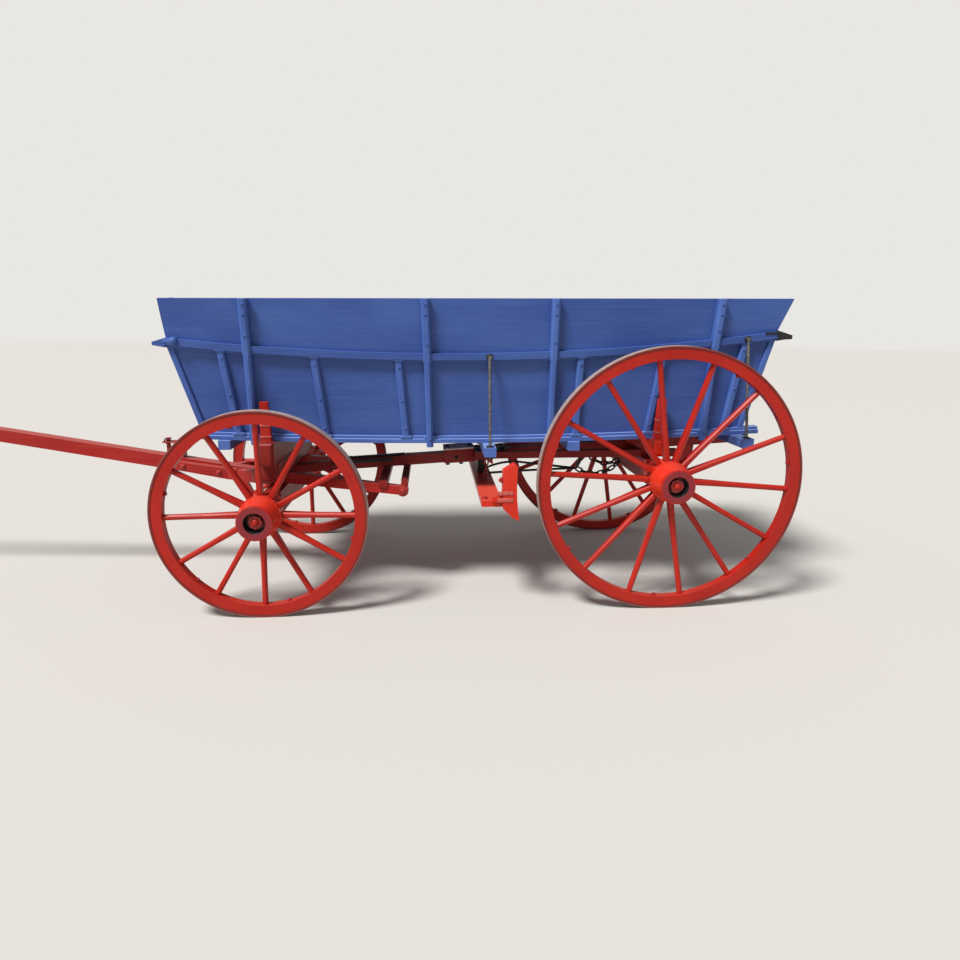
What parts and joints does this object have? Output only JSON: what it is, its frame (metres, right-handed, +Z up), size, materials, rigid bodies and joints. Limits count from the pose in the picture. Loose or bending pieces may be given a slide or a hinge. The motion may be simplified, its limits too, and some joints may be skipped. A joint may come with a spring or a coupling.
{
  "type": "farm wagon",
  "caption": "Four-wheeled wooden farm wagon with a curved, flared box on a reach-coupled running gear, spoked iron-tyred wheels and a draught tongue.",
  "frame": {"origin": "on the ground, in the middle of the overall length and width", "axes": "+X towards the rear, from the tongue to the tail of the reach; +Y towards the right side; +Z up"},
  "size_m": [6.034, 1.6702, 1.612],
  "materials": {
    "blue_wood": "worn satin paint",
    "red_wood": "worn satin paint",
    "dark_iron": "dull, rusted",
    "tyre_iron": "dusty, worn"
  },
  "bodies": {
    "wagon_body": {"floor": "blue_wood", "cross_sills": "blue_wood", "sill_left": "blue_wood", "sill_right": "blue_wood", "lower_panel_left": "blue_wood", "lower_panel_right": "blue_wood", "mid_rail_left": "blue_wood", "mid_rail_right": "blue_wood", "upper_board_left": "blue_wood", "upper_board_right": "blue_wood", "standards_left": "blue_wood", "standards_right": "blue_wood", "ribs_left": "blue_wood", "ribs_right": "blue_wood", "front_end_lower": "blue_wood", "front_end_upper": "blue_wood", "front_end_frame": "blue_wood", "front_bolster": "red_wood", "front_stakes": "red_wood", "reach": "red_wood", "rear_axle": "red_wood", "rear_hounds": "red_wood", "rear_bolster": "red_wood", "rear_stakes": "red_wood", "brake_beam": "red_wood", "brake_shoes": "red_wood", "rear_axle_arms": "dark_iron", "king_pin": "dark_iron", "hound_plate": "dark_iron", "brake_hanger": "dark_iron", "tie_rods": "dark_iron", "gate_hinge_pins": "dark_iron"},
    "front_gear": {"front_axle": "red_wood", "front_axle_arms": "dark_iron", "sand_board": "red_wood", "front_hounds": "red_wood", "slider_bar": "red_wood", "tongue": "red_wood", "tongue_irons": "dark_iron"},
    "tail_gate": {"tail_gate_lower": "blue_wood", "tail_gate_upper": "blue_wood", "tail_gate_frame": "blue_wood", "gate_hinges": "dark_iron"},
    "wheel_front_left": {"hub_front_left": "red_wood", "spoked_rim_front_left": "red_wood", "tyre_front_left": "tyre_iron"},
    "wheel_front_right": {"hub_front_right": "red_wood", "spoked_rim_front_right": "red_wood", "tyre_front_right": "tyre_iron"},
    "wheel_rear_left": {"hub_rear_left": "red_wood", "spoked_rim_rear_left": "red_wood", "tyre_rear_left": "tyre_iron"},
    "wheel_rear_right": {"hub_rear_right": "red_wood", "spoked_rim_rear_right": "red_wood", "tyre_rear_right": "tyre_iron"}
  },
  "joints": [
    {"name": "steering", "type": "hinge", "parent": "wagon_body", "child": "front_gear", "pos_m": [0.233, 0, 0.6], "axis": [0, 0, 1], "range_deg": [-20, 20]},
    {"name": "front_left_wheel_spin", "type": "hinge", "parent": "front_gear", "child": "wheel_front_left", "pos_m": [0.233, -0.711, 0.52732], "axis": [0, -0.9997, -0.0262], "continuous": true},
    {"name": "front_right_wheel_spin", "type": "hinge", "parent": "front_gear", "child": "wheel_front_right", "pos_m": [0.233, 0.711, 0.52732], "axis": [0, 0.9997, -0.0262], "continuous": true},
    {"name": "rear_left_wheel_spin", "type": "hinge", "parent": "wagon_body", "child": "wheel_rear_left", "pos_m": [2.291, -0.711, 0.68576], "axis": [0, -0.9997, -0.0262], "continuous": true},
    {"name": "rear_right_wheel_spin", "type": "hinge", "parent": "wagon_body", "child": "wheel_rear_right", "pos_m": [2.291, 0.711, 0.68576], "axis": [0, 0.9997, -0.0262], "continuous": true},
    {"name": "tail_gate_drop", "type": "hinge", "parent": "wagon_body", "child": "tail_gate", "pos_m": [2.76685, 0, 0.88209], "axis": [0, 1, 0], "range_deg": [0, 90]}
  ]
}
